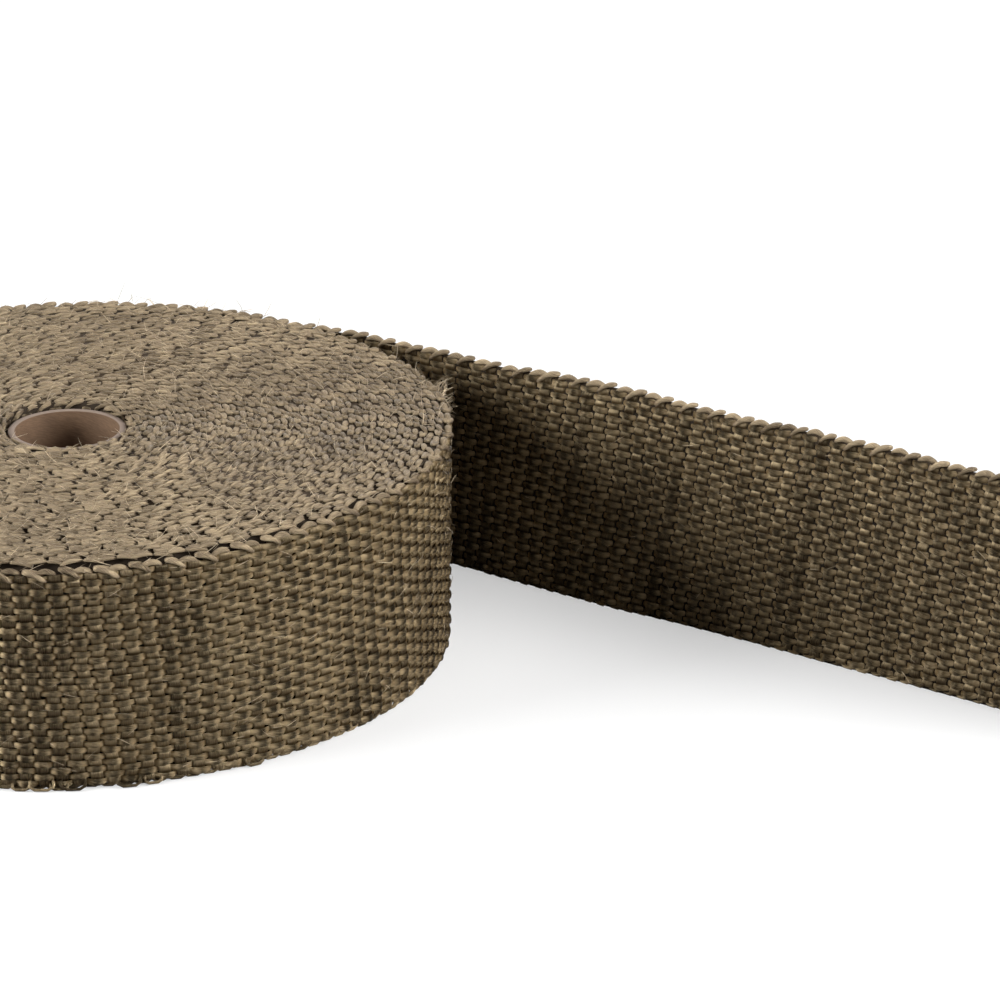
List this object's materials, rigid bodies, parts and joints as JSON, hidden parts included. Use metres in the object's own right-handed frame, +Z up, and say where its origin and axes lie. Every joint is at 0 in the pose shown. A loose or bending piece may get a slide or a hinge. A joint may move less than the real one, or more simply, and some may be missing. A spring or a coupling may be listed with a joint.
{
  "type": "exhaust heat wrap",
  "caption": "Roll of woven basalt fibre exhaust heat wrap on a cardboard core, lying flat with its free end standing on edge beside it.",
  "frame": {"origin": "middle of the floor rectangle that the roll and its free end cover, at floor height", "axes": "+Z up along the roll's axis, +X towards the free end, -Y towards the viewer of the picture"},
  "size_m": [0.3294, 0.1658, 0.0508],
  "materials": {
    "basalt_fibre": "glossy bronze brown yarn in a plain weave",
    "cardboard": "plain wound paper tube"
  },
  "bodies": {
    "root": {"woven_tape": "basalt_fibre", "core_tube": "cardboard"}
  },
  "joints": []
}
